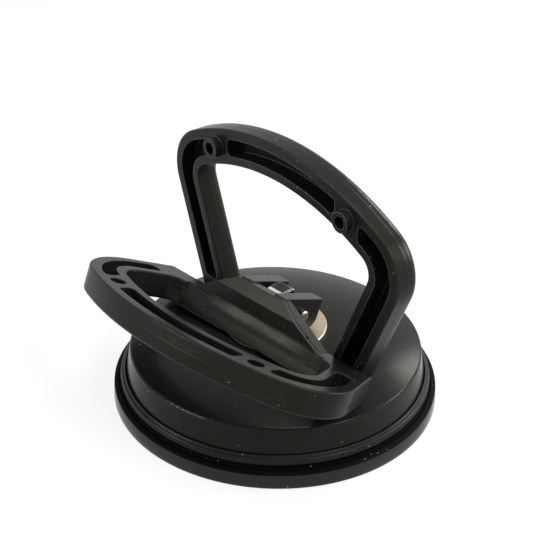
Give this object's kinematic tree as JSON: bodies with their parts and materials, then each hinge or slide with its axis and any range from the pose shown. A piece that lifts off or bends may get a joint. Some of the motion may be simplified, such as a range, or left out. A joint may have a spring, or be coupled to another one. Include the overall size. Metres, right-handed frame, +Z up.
{
  "type": "floor tile suction lifter",
  "caption": "Hand vacuum lifter: round rubber cup under a moulded dome, a fixed D handle and a cam lever that pulls the cup's middle up.",
  "frame": {"origin": "middle of the cup's sucking face, where it rests on a tile", "axes": "+Z up, away from the tile; X along the lever's hinge; the lever lies towards -Y and the fixed handle stands over +Y"},
  "size_m": [0.1233, 0.1208, 0.099],
  "materials": {
    "black_plastic": "satin moulded",
    "black_rubber": "smooth moulded",
    "zinc_yellow": "yellow zinc plate",
    "bright_steel": "bright plated",
    "plain_steel": "zinc plate"
  },
  "bodies": {
    "base": {"housing_dome": "black_plastic", "fixed_handle": "black_plastic", "handle_screws": "plain_steel", "cam_washer": "zinc_yellow", "rubber_pad": "black_rubber"},
    "core": {"core_plate": "plain_steel"},
    "stud": {"eye_stud": "bright_steel", "stud_ring": "plain_steel"},
    "lever": {"lever_handle": "black_plastic", "pivot_pin": "bright_steel"}
  },
  "joints": [
    {"name": "stud_lift", "type": "slide", "parent": "base", "child": "core", "axis": [0, 0, 1], "range_m": [0, 0.0032]},
    {"name": "stud_turn", "type": "hinge", "parent": "core", "child": "stud", "pos_m": [0, 0, 0.0045], "axis": [0, 0, 1], "range_deg": [-6, 0]},
    {"name": "lever_turn", "type": "hinge", "parent": "stud", "child": "lever", "pos_m": [0, 0, 0.0373], "axis": [-0.9954, -0.0958, 0], "range_deg": [0, 67.1]}
  ],
  "couplings": [
    {"joint": "lever_turn", "follows": "stud_lift", "rad_per_m": 365.97},
    {"joint": "stud_turn", "follows": "stud_lift", "rad_per_m": -29.998}
  ]
}
